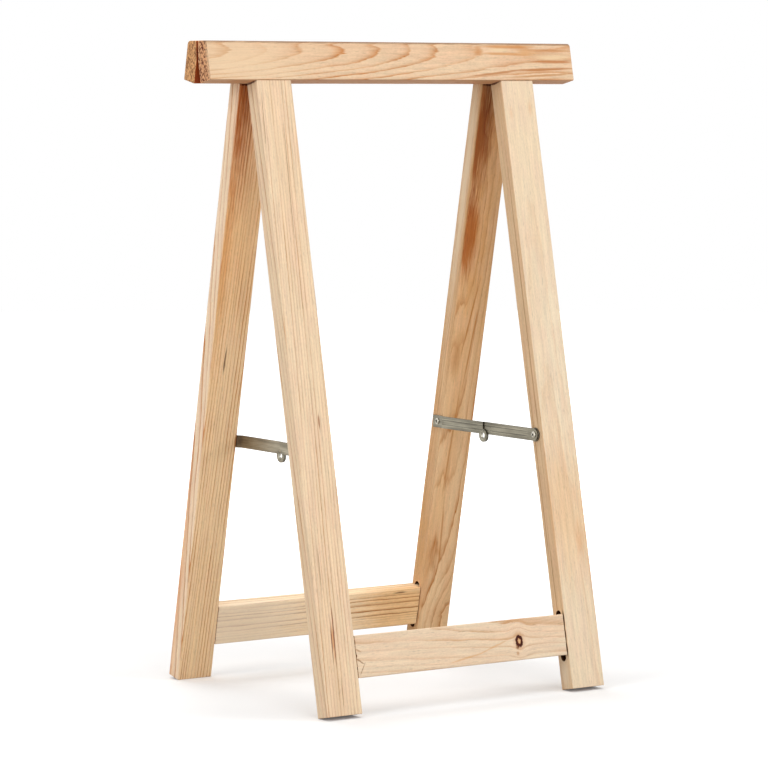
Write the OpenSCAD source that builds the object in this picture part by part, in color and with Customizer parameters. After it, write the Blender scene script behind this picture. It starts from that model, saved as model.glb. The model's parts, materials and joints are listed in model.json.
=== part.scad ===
// Folding trestle: two timber leg frames, each half of a split top beam, hinged together under the top face
// and held open by a two-link steel stay on each side.
// X runs along the beam, Y from the front frame to the rear one, Z up; the floor is Z = 0.

/* [Overall] */
// Height of the top face above the floor when open
overall_height = 750; // [600:5:900]
// Length of the split top beam
beam_length = 504; // [420:4:900]
// Slope of each leg frame from upright when open, in degrees
leg_slope = 11.75; // [9:0.25:14]

/* [Half-beams] */
// Thickness of each half-beam
half_thickness = 23; // [22.5:0.5:32]
// Depth of a half-beam below the hinge line, along the slope
half_drop = 26.7; // [25:0.1:36]
// Depth of the hinge line below the top face
hinge_drop = 22.5; // [14:0.5:30]
// Gap between the upright inner faces above the hinge line
top_slot = 3; // [2:0.25:6]
// Radius of the outer top edge
top_edge_radius = 5; // [2:0.5:8]

/* [Legs] */
// Width of a leg, along the beam
leg_width = 46; // [36:1:60]
// Thickness of a leg
leg_thickness = 22; // [18:0.5:28]
// Distance between the outer sides of the left and right legs
leg_span = 383; // [300:1:520]
// Length of the tenon on top of a leg
leg_tenon_length = 24; // [16:1:30]
// Width of the tenon on top of a leg
leg_tenon_width = 32; // [22:1:36]
// Thickness of the tenon on top of a leg
leg_tenon_thickness = 9; // [6:0.5:11]

/* [Stretchers] */
// Height of a stretcher
stretcher_height = 47.6; // [30:0.2:70]
// Thickness of a stretcher
stretcher_thickness = 19.5; // [14:0.5:22]
// Distance from the foot of a leg up to the lower edge of its stretcher
stretcher_rise = 39.6; // [20:0.2:160]
// Width of the round-ended mortise that takes a stretcher
mortise_width = 8; // [5:0.5:11]
// Length of a stretcher tenon
stretcher_tenon_length = 24; // [14:1:30]
// Slack around every glued tenon
glue_slack = 0.1; // [0.05:0.05:0.3]

/* [Hinges] */
// Distance of each hinge centre from the middle of the beam
hinge_offset = 95; // [60:1:110]
// Length of a hinge
hinge_length = 50; // [40:1:60]
// Width of a hinge leaf below the hinge line
hinge_leaf_width = 22; // [18:0.5:24]
// Thickness of a hinge leaf
hinge_leaf_thickness = 1.3; // [1:0.1:1.5]
// Distance from the hinge line to the inner face of each half-beam
hinge_face_gap = 1.6; // [1.6:0.05:2.4]
// Outside radius of a hinge knuckle
knuckle_radius = 2.8; // [2.4:0.1:3.2]
// Radius of a hinge pin
hinge_pin_radius = 1.5; // [1.2:0.1:1.6]
// Radial clearance of a pin in its hole
running_clearance = 0.06; // [0.03:0.01:0.1]
// Gap between neighbouring knuckles, and from a knuckle to the timber
knuckle_gap = 0.3; // [0.2:0.05:0.5]
// Shank radius of a hinge screw
hinge_screw_radius = 1.5; // [1.2:0.1:1.8]
// Head radius of a hinge screw
hinge_screw_head_radius = 2.8; // [2.2:0.1:3.2]
// Length of a hinge screw
hinge_screw_length = 15; // [10:1:18]
// Radial slack of screws and eyelets in their holes
hole_slack = 0.05; // [0.02:0.01:0.15]

/* [Stays] */
// Height of the screws of the right stay above the floor
right_stay_height = 294; // [200:1:380]
// Height of the screws of the left stay above the floor
left_stay_height = 286; // [200:1:380]
// Distance of the leg screws from the inner face of a leg
stay_screw_inset = 8; // [7:0.5:11]
// Width of the steel strip
strip_width = 14.6; // [12:0.2:18]
// Thickness of the steel strip
strip_thickness = 1.5; // [1:0.1:2.5]
// How far the middle pivot hangs below the line of the leg screws
pivot_drop = 9; // [7:0.25:12]
// Radius of the round tab around the middle pivot
tab_radius = 7.8; // [6.6:0.2:10]
// How far the rear link runs past its screw
rear_end_length = 9; // [7:0.5:11]
// Outside radius of the eyelet in the middle pivot
eyelet_radius = 4.3; // [3:0.1:5]
// Wall of the eyelet
eyelet_wall = 0.6; // [0.4:0.05:0.8]
// Radius of the eyelet's rolled rim
eyelet_rim_radius = 6; // [5.4:0.1:6.4]
// Thickness of the eyelet's rolled rim
eyelet_rim_thickness = 0.4; // [0.3:0.05:0.8]
// Gap between the two links where they pass each other
link_gap = 0.3; // [0.25:0.05:0.6]
// Gap on each side of a link at its leg screw
side_gap = 0.2; // [0.1:0.05:0.4]
// Thickness of the spacing washer behind the front link
washer_thickness = 1.5; // [1:0.1:2.5]
// Radius of the spacing washer behind the front link
washer_radius = 8.2; // [7.4:0.1:9.5]
// Width of the pressed bead along a link
bead_width = 6; // [4:0.5:8]
// Depth of the pressed bead along a link
bead_depth = 0.3; // [0.2:0.05:0.4]
// Shank radius of a leg screw
leg_screw_radius = 2; // [1.6:0.1:2.4]
// Head radius of a leg screw
leg_screw_head_radius = 3.7; // [3.2:0.1:4.4]
// Head height of a leg screw
leg_screw_head_height = 1.3; // [1:0.1:2]
// Depth of a leg screw in the timber
leg_screw_depth = 18; // [12:1:26]

/* [Hidden] */
$fn = 96;

pine = [0.86, 0.71, 0.51];
zinc = [0.60, 0.61, 0.58];
over = 1; // how far a cutter runs past the face that it opens
slope_sin = sin(leg_slope);
slope_cos = cos(leg_slope);
hinge_height = overall_height - hinge_drop;
outer_face = hinge_face_gap + half_thickness;
leaf_inner = hinge_face_gap - hinge_leaf_thickness;
// The legs are flush with the inner faces of the half-beams.
leg_inner = hinge_face_gap;
leg_middle = leg_inner + leg_thickness / 2;
screw_line = leg_inner + stay_screw_inset;
leg_right_outer = leg_span / 2;
leg_right_inner = leg_right_outer - leg_width;
leg_centre = leg_right_outer - leg_width / 2;
foot_depth = (hinge_height + leg_inner * slope_sin) / slope_cos;
stretcher_bottom = foot_depth - stretcher_rise;
stretcher_top = stretcher_bottom - stretcher_height;
// Stack of a stay, measured from the side of a leg towards the middle of the trestle.
front_link_base = washer_thickness + side_gap;
rear_link_base = front_link_base + strip_thickness + link_gap;
rear_end_base = link_gap;
joggle_start = stay_screw_inset + 1;
joggle_run = 5;
bead_margin = 12;
recess_width = 0.9;
recess_depth = 0.7;

// Rear: point of the sloping frame, out from the hinge line by v and down the slope by u, as [Y, Z]
function slope_point(v, u) = [v * slope_cos + u * slope_sin, hinge_height + v * slope_sin - u * slope_cos];
// Distance down the slope, at v, of the level z
function slope_depth(v, z) = (hinge_height + v * slope_sin - z) / slope_cos;
// Y of the leg screw of a stay at height z
function screw_reach(z) = slope_point(screw_line, slope_depth(screw_line, z))[0];

// Children are drawn upright, with the hinge line on the X axis, Y outwards and the foot at -Z.
module rear_frame() {
  translate([0, 0, hinge_height])
    rotate([leg_slope, 0, 0])
      children();
}

module front_frame() {
  mirror([0, 1, 0])
    rear_frame()
      children();
}

// Bar with rounded ends along X, thickness along Y, rising from Z = 0
module round_ended_bar(length, thickness, height) {
  straight = length - thickness;
  translate([-straight / 2, -thickness / 2, 0])
    cube([straight, thickness, height]);
  for (side = [-1, 1])
    translate([side * straight / 2, 0, 0])
      cylinder(d = thickness, h = height);
}

// Screw along +Y from Y = 0: countersunk head of the given depth, then the shank
module hinge_screw_body(shank, head, head_depth, length) {
  rotate([-90, 0, 0]) {
    cylinder(r1 = head, r2 = shank, h = head_depth);
    cylinder(r = shank, h = length);
  }
}

function hinge_screw_places() = [[-hinge_length / 3, 15], [0, 9], [hinge_length / 3, 15]];

module half_beam_section() {
  ridge_depth = (top_slot / 2 - hinge_face_gap * slope_cos) / slope_sin;
  polygon([
    [top_slot / 2, overall_height],
    slope_point(hinge_face_gap, ridge_depth),
    slope_point(hinge_face_gap, half_drop),
    slope_point(outer_face, half_drop),
    slope_point(outer_face, slope_depth(outer_face, overall_height))]);
}

// What the rounding of the outer top edge takes away
module top_edge_cutter() {
  centre_v = outer_face - top_edge_radius;
  centre = slope_point(centre_v, slope_depth(centre_v, overall_height - top_edge_radius));
  reach = top_edge_radius + over;
  translate([-beam_length / 2 - over, centre[0], centre[1]])
    rotate([90, 0, 90])
      difference() {
        linear_extrude(height = beam_length + 2 * over)
          polygon([[0, 0], [0, reach], [reach, reach], [reach * slope_cos, reach * slope_sin]]);
        translate([0, 0, -over])
          cylinder(r = top_edge_radius, h = beam_length + 4 * over);
      }
}

module half_beam() {
  difference() {
    translate([-beam_length / 2, 0, 0])
      rotate([90, 0, 90])
        linear_extrude(height = beam_length)
          half_beam_section();
    top_edge_cutter();
    rear_frame() {
      for (side = [-1, 1]) {
        // leg mortise
        translate([side * leg_centre, leg_middle, -half_drop - over])
          round_ended_bar(leg_tenon_width + 2 * glue_slack, leg_tenon_thickness + 2 * glue_slack,
            leg_tenon_length + glue_slack + over);
        translate([side * hinge_offset, 0, 0]) {
          // room for the knuckles
          translate([-hinge_length / 2 - 2 * knuckle_gap, 0, 0])
            rotate([0, 90, 0])
              cylinder(r = knuckle_radius + knuckle_gap, h = hinge_length + 4 * knuckle_gap);
          // screw holes
          for (place = hinge_screw_places())
            translate([place[0], leaf_inner, -place[1]])
              rotate([-90, 0, 0])
                cylinder(r = hinge_screw_radius + hole_slack, h = hinge_screw_length + hole_slack);
        }
      }
    }
  }
}

// Leg of the rear frame on the given side, with the hole for its stay screw at the given height
module leg(side, stay_height) {
  screw_depth = slope_depth(screw_line, stay_height);
  difference() {
    union() {
      translate([side * leg_centre - leg_width / 2, leg_inner, -foot_depth])
        cube([leg_width, leg_thickness, foot_depth - half_drop]);
      translate([side * leg_centre, leg_middle, -half_drop - over])
        round_ended_bar(leg_tenon_width, leg_tenon_thickness, leg_tenon_length + over);
    }
    stretcher_mortise(side);
    translate([side * (leg_right_inner - over), screw_line, -screw_depth])
      rotate([0, side * 90, 0])
        cylinder(r = leg_screw_radius + hole_slack, h = leg_screw_depth + hole_slack + over);
  }
}

// Round-ended mortise in the inner side of a leg; its ends show above and below the stretcher.
module stretcher_mortise(side) {
  depth = stretcher_tenon_length + glue_slack;
  translate([side * (leg_right_inner + depth / 2 - over / 2), leg_middle, 0]) {
    translate([-(depth + over) / 2, -mortise_width / 2, -stretcher_bottom])
      cube([depth + over, mortise_width, stretcher_height]);
    for (level = [stretcher_bottom, stretcher_top])
      translate([-(depth + over) / 2, 0, -level])
        rotate([0, 90, 0])
          cylinder(d = mortise_width, h = depth + over);
  }
}

module stretcher() {
  tenon = mortise_width - 2 * glue_slack;
  translate([-leg_right_inner, leg_middle - stretcher_thickness / 2, -stretcher_bottom])
    cube([2 * leg_right_inner, stretcher_thickness, stretcher_height]);
  translate([-leg_right_inner - stretcher_tenon_length, leg_middle - tenon / 2, -stretcher_bottom])
    cube([2 * (leg_right_inner + stretcher_tenon_length), tenon, stretcher_height]);
}

// Hinge leaf on the rear half-beam; own lists its knuckles, counted from the left out of five.
module hinge_leaf(own) {
  pitch = hinge_length / 5;
  difference() {
    union() {
      translate([-hinge_length / 2, leaf_inner, -hinge_leaf_width])
        cube([hinge_length, hinge_leaf_thickness, hinge_leaf_width]);
      for (k = own)
        translate([-hinge_length / 2 + k * pitch + (k == 0 ? 0 : knuckle_gap / 2), 0, 0])
          rotate([0, 90, 0])
            cylinder(r = knuckle_radius, h = pitch - (k == 0 || k == 4 ? knuckle_gap / 2 : knuckle_gap));
    }
    // room for the other leaf's knuckles
    for (k = [0:4])
      if (len(search(k, own)) == 0)
        translate([-hinge_length / 2 + k * pitch - (k == 0 ? over : knuckle_gap / 2), -knuckle_radius - over,
          -knuckle_radius - knuckle_gap])
          cube([pitch + (k == 0 || k == 4 ? over + knuckle_gap / 2 : knuckle_gap),
            2 * (knuckle_radius + over), 2 * (knuckle_radius + over)]);
    translate([-hinge_length / 2 - over, 0, 0])
      rotate([0, 90, 0])
        cylinder(r = hinge_pin_radius + running_clearance, h = hinge_length + 2 * over);
    for (place = hinge_screw_places())
      translate([place[0], leaf_inner, -place[1]])
        hinge_screw_body(hinge_screw_radius + hole_slack, hinge_screw_head_radius + hole_slack,
          hinge_leaf_thickness, hinge_screw_length);
  }
}

module hinge_pin() {
  translate([-hinge_length / 2, 0, 0])
    rotate([0, 90, 0])
      cylinder(r = hinge_pin_radius, h = hinge_length);
}

module cross_recess(size) {
  for (turn = [0, 90])
    rotate([0, turn, 0])
      translate([-size / 2, 0, -recess_width / 2])
        cube([size, recess_depth + over, recess_width]);
}

module hinge_screws() {
  for (place = hinge_screw_places())
    translate([place[0], leaf_inner, -place[1]])
      difference() {
        hinge_screw_body(hinge_screw_radius, hinge_screw_head_radius, hinge_leaf_thickness, hinge_screw_length);
        translate([0, -over, 0])
          cross_recess(hinge_screw_head_radius * 1.1);
      }
}

// Puts a hinge piece on the rear or the front half-beam, on the given side.
module on_rear_hinge(side) {
  rear_frame()
    translate([side * hinge_offset, 0, 0])
      children();
}

module on_front_hinge(side) {
  mirror([0, 1, 0])
    on_rear_hinge(side)
      children();
}

// Puts a stay piece on the given side. Children are drawn with X away from the leg's side, Y to the rear,
// and Z = 0 at the leg screws.
module stay_place(side, height) {
  translate([side * leg_right_inner, 0, height])
    mirror([side > 0 ? 1 : 0, 0, 0])
      children();
}

// Round plate across X, from base up to base + thickness
module disc(radius, base, thickness) {
  translate([base, 0, 0])
    rotate([0, 90, 0])
      cylinder(r = radius, h = thickness);
}

// Tab that hangs under the strip around the middle pivot
module pivot_tab(base) {
  translate([0, 0, -pivot_drop])
    disc(tab_radius, base, strip_thickness);
}

module pivot_hole() {
  translate([0, 0, -pivot_drop])
    disc(eyelet_radius + hole_slack, -over, rear_link_base + strip_thickness + 2 * over);
}

// Screw hole of a link, with the running clearance that lets it turn
module link_screw_hole(y) {
  translate([0, y, 0])
    disc(leg_screw_radius + running_clearance, -over, rear_link_base + strip_thickness + 2 * over);
}

// Pressed bead, sunk in the face that looks away from the leg
module bead(from_y, to_y, face) {
  translate([face - bead_depth, from_y, -bead_width / 2])
    cube([bead_depth + over, to_y - from_y, bead_width]);
}

module link_front(reach) {
  difference() {
    union() {
      translate([front_link_base, -reach, -strip_width / 2])
        cube([strip_thickness, reach - link_gap / 2, strip_width]);
      translate([0, -reach, 0])
        disc(strip_width / 2, front_link_base, strip_thickness);
      pivot_tab(front_link_base);
    }
    link_screw_hole(-reach);
    pivot_hole();
    bead(-reach + bead_margin, -bead_margin, front_link_base + strip_thickness);
  }
}

module link_rear(reach) {
  bend_outer = reach - joggle_start;
  bend_inner = bend_outer - joggle_run;
  difference() {
    union() {
      translate([0, 0, -strip_width / 2])
        linear_extrude(height = strip_width)
          polygon([
            [rear_link_base, link_gap / 2],
            [rear_link_base + strip_thickness, link_gap / 2],
            [rear_link_base + strip_thickness, bend_inner],
            [rear_end_base + strip_thickness, bend_outer],
            [rear_end_base + strip_thickness, reach + rear_end_length],
            [rear_end_base, reach + rear_end_length],
            [rear_end_base, bend_outer],
            [rear_link_base, bend_inner]]);
      pivot_tab(rear_link_base);
    }
    link_screw_hole(reach);
    pivot_hole();
    bead(bead_margin, bend_inner - 2, rear_link_base + strip_thickness);
  }
}

// Half of the eyelet: its barrel in one link, and its rolled rim on the face at rim_base
module eyelet_half(barrel_base, rim_base) {
  translate([0, 0, -pivot_drop])
    difference() {
      union() {
        disc(eyelet_radius, barrel_base, strip_thickness);
        disc(eyelet_rim_radius, rim_base, eyelet_rim_thickness);
      }
      disc(eyelet_radius - eyelet_wall, -over, rear_link_base + strip_thickness + 3 * over);
    }
}

module eyelet_front() {
  eyelet_half(front_link_base, front_link_base - eyelet_rim_thickness);
}

module eyelet_rear() {
  eyelet_half(rear_link_base, rear_link_base + strip_thickness);
}

module washer(reach) {
  translate([0, -reach, 0])
    difference() {
      disc(washer_radius, 0, washer_thickness);
      disc(leg_screw_radius + hole_slack, -over, washer_thickness + 2 * over);
    }
}

// Leg screw at the given Y, its head over a link whose outer face is at face
module leg_screw(y, face) {
  head_base = face + side_gap;
  head_face = head_base + leg_screw_head_height;
  translate([0, y, 0])
    difference() {
      union() {
        disc(leg_screw_radius, -leg_screw_depth, leg_screw_depth + head_base + leg_screw_head_height / 2);
        disc(leg_screw_head_radius, head_base, leg_screw_head_height);
      }
      translate([head_face - recess_depth, 0, 0])
        rotate([0, 0, -90])
          cross_recess(leg_screw_head_radius * 1.2);
    }
}

module beam_front() color(pine) mirror([0, 1, 0]) half_beam();
module beam_rear() color(pine) half_beam();
module leg_front_left() color(pine) front_frame() leg(-1, left_stay_height);
module leg_front_right() color(pine) front_frame() leg(1, right_stay_height);
module leg_rear_left() color(pine) rear_frame() leg(-1, left_stay_height);
module leg_rear_right() color(pine) rear_frame() leg(1, right_stay_height);
module stretcher_front() color(pine) front_frame() stretcher();
module stretcher_rear() color(pine) rear_frame() stretcher();

module hinge_left_leaf_front() color(zinc) on_front_hinge(-1) hinge_leaf([0, 2, 4]);
module hinge_left_leaf_rear() color(zinc) on_rear_hinge(-1) hinge_leaf([1, 3]);
module hinge_left_pin() color(zinc) on_front_hinge(-1) hinge_pin();
module hinge_left_screws_front() color(zinc) on_front_hinge(-1) hinge_screws();
module hinge_left_screws_rear() color(zinc) on_rear_hinge(-1) hinge_screws();
module hinge_right_leaf_front() color(zinc) on_front_hinge(1) hinge_leaf([0, 2, 4]);
module hinge_right_leaf_rear() color(zinc) on_rear_hinge(1) hinge_leaf([1, 3]);
module hinge_right_pin() color(zinc) on_front_hinge(1) hinge_pin();
module hinge_right_screws_front() color(zinc) on_front_hinge(1) hinge_screws();
module hinge_right_screws_rear() color(zinc) on_rear_hinge(1) hinge_screws();

module stay_left(kind) {
  stay_piece(kind, -1, left_stay_height, screw_reach(left_stay_height));
}

module stay_right(kind) {
  stay_piece(kind, 1, right_stay_height, screw_reach(right_stay_height));
}

module stay_piece(kind, side, height, reach) {
  color(zinc)
    stay_place(side, height) {
      if (kind == "link_front") link_front(reach);
      if (kind == "link_rear") link_rear(reach);
      if (kind == "eyelet_front") eyelet_front();
      if (kind == "eyelet_rear") eyelet_rear();
      if (kind == "washer") washer(reach);
      if (kind == "screw_front") leg_screw(-reach, front_link_base + strip_thickness);
      if (kind == "screw_rear") leg_screw(reach, rear_end_base + strip_thickness);
    }
}

module stay_left_link_front() stay_left("link_front");
module stay_left_link_rear() stay_left("link_rear");
module stay_left_eyelet_front() stay_left("eyelet_front");
module stay_left_eyelet_rear() stay_left("eyelet_rear");
module stay_left_washer() stay_left("washer");
module stay_left_screw_front() stay_left("screw_front");
module stay_left_screw_rear() stay_left("screw_rear");
module stay_right_link_front() stay_right("link_front");
module stay_right_link_rear() stay_right("link_rear");
module stay_right_eyelet_front() stay_right("eyelet_front");
module stay_right_eyelet_rear() stay_right("eyelet_rear");
module stay_right_washer() stay_right("washer");
module stay_right_screw_front() stay_right("screw_front");
module stay_right_screw_rear() stay_right("screw_rear");

beam_front();
beam_rear();
leg_front_left();
leg_front_right();
leg_rear_left();
leg_rear_right();
stretcher_front();
stretcher_rear();
hinge_left_leaf_front();
hinge_left_leaf_rear();
hinge_left_pin();
hinge_left_screws_front();
hinge_left_screws_rear();
hinge_right_leaf_front();
hinge_right_leaf_rear();
hinge_right_pin();
hinge_right_screws_front();
hinge_right_screws_rear();
stay_left_link_front();
stay_left_link_rear();
stay_left_eyelet_front();
stay_left_eyelet_rear();
stay_left_washer();
stay_left_screw_front();
stay_left_screw_rear();
stay_right_link_front();
stay_right_link_rear();
stay_right_eyelet_front();
stay_right_eyelet_rear();
stay_right_washer();
stay_right_screw_front();
stay_right_screw_rear();
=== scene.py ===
import json
import math
import bpy
import bmesh
from mathutils import Matrix, Vector, noise


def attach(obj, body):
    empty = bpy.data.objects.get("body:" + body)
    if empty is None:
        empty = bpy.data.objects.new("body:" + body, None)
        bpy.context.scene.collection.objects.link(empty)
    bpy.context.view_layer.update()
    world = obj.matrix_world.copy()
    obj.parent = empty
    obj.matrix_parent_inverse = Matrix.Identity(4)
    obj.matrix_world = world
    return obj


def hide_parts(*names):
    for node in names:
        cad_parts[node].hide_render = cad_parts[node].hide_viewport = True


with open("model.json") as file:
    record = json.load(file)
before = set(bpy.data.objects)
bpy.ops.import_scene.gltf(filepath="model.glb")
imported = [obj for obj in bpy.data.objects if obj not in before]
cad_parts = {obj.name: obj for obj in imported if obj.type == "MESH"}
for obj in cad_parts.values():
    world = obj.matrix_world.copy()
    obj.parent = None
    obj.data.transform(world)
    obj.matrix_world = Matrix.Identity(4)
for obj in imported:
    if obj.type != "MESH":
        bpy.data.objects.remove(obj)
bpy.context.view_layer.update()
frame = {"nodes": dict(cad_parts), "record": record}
mm = 0.001

# sizes that several pieces share, in mm, the same as the CAD part's
trestle = {
    "slope": 11.75, "hingeHeight": 727.5, "beamLength": 504, "beamInner": 1.6, "beamOuter": 24.6,
    "beamDrop": 26.7, "topHeight": 750, "topSlot": 1.5, "legInner": 1.6, "legOuter": 23.6, "legWidth": 46,
    "legCentre": 168.5, "sideFace": 145.5}
slope = math.radians(trestle["slope"])


def hexColour(text):
    channels = [int(text[i:i + 2], 16) / 255 for i in (1, 3, 5)]
    return [c / 12.92 if c <= 0.04045 else ((c + 0.055) / 1.055) ** 2.4 for c in channels] + [1.0]


def addNode(tree, kind, inputs=None, **settings):
    node = tree.nodes.new("ShaderNode" + kind)
    for key, value in settings.items():
        setattr(node, key, value)
    for socket, source in (inputs or {}).items():
        if isinstance(source, bpy.types.Node):
            source = source.outputs[0]
        if isinstance(source, bpy.types.NodeSocket):
            tree.links.new(source, node.inputs[socket])
        else:
            node.inputs[socket].default_value = source
    return node


def newGroup(name, inputs, outputs):
    tree = bpy.data.node_groups.new(name, "ShaderNodeTree")
    for label, kind, value in inputs:
        socket = tree.interface.new_socket(label, in_out="INPUT", socket_type="NodeSocket" + kind)
        if value is not None:
            socket.default_value = value
    for label, kind in outputs:
        tree.interface.new_socket(label, in_out="OUTPUT", socket_type="NodeSocket" + kind)
    return tree, tree.nodes.new("NodeGroupInput").outputs, tree.nodes.new("NodeGroupOutput").inputs


def newMaterial(name):
    material = bpy.data.materials.new(name)
    material.use_nodes = True
    material.node_tree.nodes.clear()
    return material, material.node_tree


def setRamp(node, stops):
    elements = node.color_ramp.elements
    while len(elements) < len(stops):
        elements.new(0.5)
    for element, (place, value) in zip(elements, stops):
        element.position = place
        element.color = value if isinstance(value, list) else [value, value, value, 1]


# planed pine: pale soft earlywood, hard amber latewood that ends sharply at each year's edge;
# works in mm, with Z along the board
def makePineGroup():
    tree, given, made = newGroup("pine growth rings", [
        ("Vector", "Vector", None), ("Pith", "Vector", None), ("Lean", "Vector", None),
        ("Peak", "Float", 1e5), ("Soft", "Float", 0.0), ("Shift", "Float", 0.0), ("Ring Width", "Float", 3.0),
        ("Uneven", "Float", 1.6), ("Warp", "Float", 2.0), ("Seed", "Float", 0.0), ("Contrast", "Float", 1.0),
        ("Early", "Color", None), ("Late", "Color", None), ("Warm", "Color", None), ("Warmth", "Float", 0.6),
        ("Rosy", "Color", None), ("Fibre", "Float", 0.3), ("End", "Color", None), ("Ends", "Float", 0.0),
        ("Pore", "Float", 1.0), ("Luck", "Float", 0.0)],
        [("Colour", "Color"), ("Latewood", "Float"), ("Height", "Float")])
    vec = given["Vector"]
    seed = given["Seed"]

    def noiseAt(size, detail, offset, source=vec):
        scaled = addNode(tree, "VectorMath", {0: source, 1: tuple(1 / s for s in size)}, operation="MULTIPLY")
        seeds = addNode(tree, "Math", {0: seed, 1: offset}, operation="ADD")
        moved = addNode(tree, "VectorMath", {0: scaled, 1: seeds.outputs[0]}, operation="ADD")
        return addNode(tree, "TexNoise", {"Vector": moved, "Scale": 1.0, "Detail": detail})

    # the stem is never quite straight or round: slow drift, small waves, then ripples a few mm long
    position = vec
    for cross, along, offset, share in ((60, 330, 3.1, 4.0), (16, 95, 7.7, 1.0), (6, 19, 8.3, 0.34)):
        wave = noiseAt((cross, cross, along), 1.0, offset)
        centred = addNode(tree, "VectorMath", {0: wave.outputs["Color"], 1: (0.5, 0.5, 0.5)},
                          operation="SUBTRACT")
        amount = addNode(tree, "Math", {0: given["Warp"], 1: share}, operation="MULTIPLY")
        scaled = addNode(tree, "VectorMath", {0: centred, "Scale": amount.outputs[0]}, operation="SCALE")
        position = addNode(tree, "VectorMath", {0: position, 1: scaled}, operation="ADD")
    # the pith leans one way up to the peak and back beyond it, rounded over the soft length
    height = addNode(tree, "SeparateXYZ", {0: vec}).outputs["Z"]
    past = addNode(tree, "Math", {0: height, 1: given["Peak"]}, operation="SUBTRACT")
    arm = addNode(tree, "CombineXYZ", {0: past, 1: given["Soft"]})
    length = addNode(tree, "VectorMath", {0: arm}, operation="LENGTH")
    turned = addNode(tree, "Math", {0: given["Peak"], 1: length.outputs["Value"]}, operation="SUBTRACT")
    leaning = addNode(tree, "VectorMath", {0: given["Lean"], "Scale": turned.outputs[0]}, operation="SCALE")
    pith = addNode(tree, "VectorMath", {0: given["Pith"], 1: leaning}, operation="ADD")
    away = addNode(tree, "VectorMath", {0: position, 1: pith}, operation="SUBTRACT")
    flat = addNode(tree, "VectorMath", {0: away, 1: (1, 1, 0)}, operation="MULTIPLY")
    radius = addNode(tree, "VectorMath", {0: flat}, operation="LENGTH")
    swollen = addNode(tree, "Math", {0: radius.outputs["Value"], 1: given["Shift"]}, operation="ADD")
    years = addNode(tree, "Math", {0: swollen, 1: given["Ring Width"]}, operation="DIVIDE")
    # good and bad years: rings of unequal width
    slow = addNode(tree, "Math", {0: years, 1: 0.3, 2: seed}, operation="MULTIPLY_ADD")
    uneven = addNode(tree, "TexNoise", {"W": slow, "Scale": 1.0, "Detail": 1.0}, noise_dimensions="1D")
    years = addNode(tree, "Math", {0: uneven, 1: given["Uneven"], 2: years}, operation="MULTIPLY_ADD")
    # latewood edge frayed along the fibres
    fray = noiseAt((1.3, 1.3, 26), 2.0, 1.3)
    years = addNode(tree, "Math", {0: fray, 1: 0.26, 2: years}, operation="MULTIPLY_ADD")
    year = addNode(tree, "Math", {0: years}, operation="FLOOR")
    within = addNode(tree, "Math", {0: years}, operation="FRACT")
    chance = addNode(tree, "Math", {0: year, 1: seed}, operation="ADD")
    chance = addNode(tree, "Math", {0: chance, 1: given["Luck"]}, operation="ADD")
    luck = addNode(tree, "TexWhiteNoise", {"W": chance}, noise_dimensions="1D")
    edge = addNode(tree, "ValToRGB", {0: within})
    setRamp(edge, [(0.0, 0.0), (0.36, 0.03), (0.64, 0.17), (0.83, 0.62), (0.92, 1.0), (1.0, 0.0)])
    strength = addNode(tree, "MapRange", {"Value": luck.outputs["Value"], "To Min": 0.45, "To Max": 1.0})
    patch = noiseAt((14, 14, 110), 2.0, 5.2)
    patchy = addNode(tree, "MapRange", {"Value": patch, "From Min": 0.32, "From Max": 0.68,
                                        "To Min": 0.4, "To Max": 1.25})
    late = addNode(tree, "Math", {0: edge, 1: strength}, operation="MULTIPLY")
    late = addNode(tree, "Math", {0: late, 1: patchy}, operation="MULTIPLY")
    late = addNode(tree, "Math", {0: late, 1: given["Contrast"]}, operation="MULTIPLY", use_clamp=True)
    # resin-rich bands run warm along the board, rosy and creamy clouds over them
    band = noiseAt((26, 26, 300), 2.0, 9.4)
    bands = addNode(tree, "MapRange", {"Value": band, "From Min": 0.36, "From Max": 0.68,
                                       "To Min": 0.0, "To Max": given["Warmth"]})
    early = addNode(tree, "Mix", {0: bands, 6: given["Early"], 7: given["Warm"]}, data_type="RGBA")
    cloud = noiseAt((10, 10, 38), 2.0, 3.9)
    clouds = addNode(tree, "MapRange", {"Value": cloud, "From Min": 0.42, "From Max": 0.66,
                                        "To Min": 0.0, "To Max": 0.7})
    early = addNode(tree, "Mix", {0: clouds, 6: early.outputs[2], 7: given["Rosy"]}, data_type="RGBA")
    wood = addNode(tree, "Mix", {0: late, 6: early.outputs[2], 7: given["Late"]}, data_type="RGBA")
    # fibres, drawn about 1 mm wide so that they show
    fine = noiseAt((1.0, 1.0, 24), 3.0, 2.2)
    coarse = noiseAt((3.2, 3.2, 70), 2.0, 4.6)
    grit = noiseAt((1.5, 1.5, 3.2), 2.0, 5.7)
    both = addNode(tree, "Math", {0: fine, 1: coarse}, operation="ADD")
    both = addNode(tree, "Math", {0: grit, 1: 0.8, 2: both}, operation="MULTIPLY_ADD")
    centred = addNode(tree, "Math", {0: both, 1: 1.4}, operation="SUBTRACT")
    fibres = addNode(tree, "Math", {0: centred, 1: given["Fibre"], 2: 1.0}, operation="MULTIPLY_ADD")
    # resin canals: short brown dashes
    canalAt = addNode(tree, "VectorMath", {0: vec, 1: (0.42, 0.42, 0.06)}, operation="MULTIPLY")
    canals = addNode(tree, "TexVoronoi", {"Vector": canalAt, "Scale": 1.0})
    dash = addNode(tree, "MapRange", {"Value": canals.outputs["Distance"], "From Min": 0.10, "From Max": 0.24,
                                      "To Min": 0.84, "To Max": 1.0})
    tone = addNode(tree, "Math", {0: fibres, 1: dash}, operation="MULTIPLY")
    faceColour = addNode(tree, "VectorMath", {0: wood.outputs[2], "Scale": tone.outputs[0]},
                         operation="SCALE")
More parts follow.
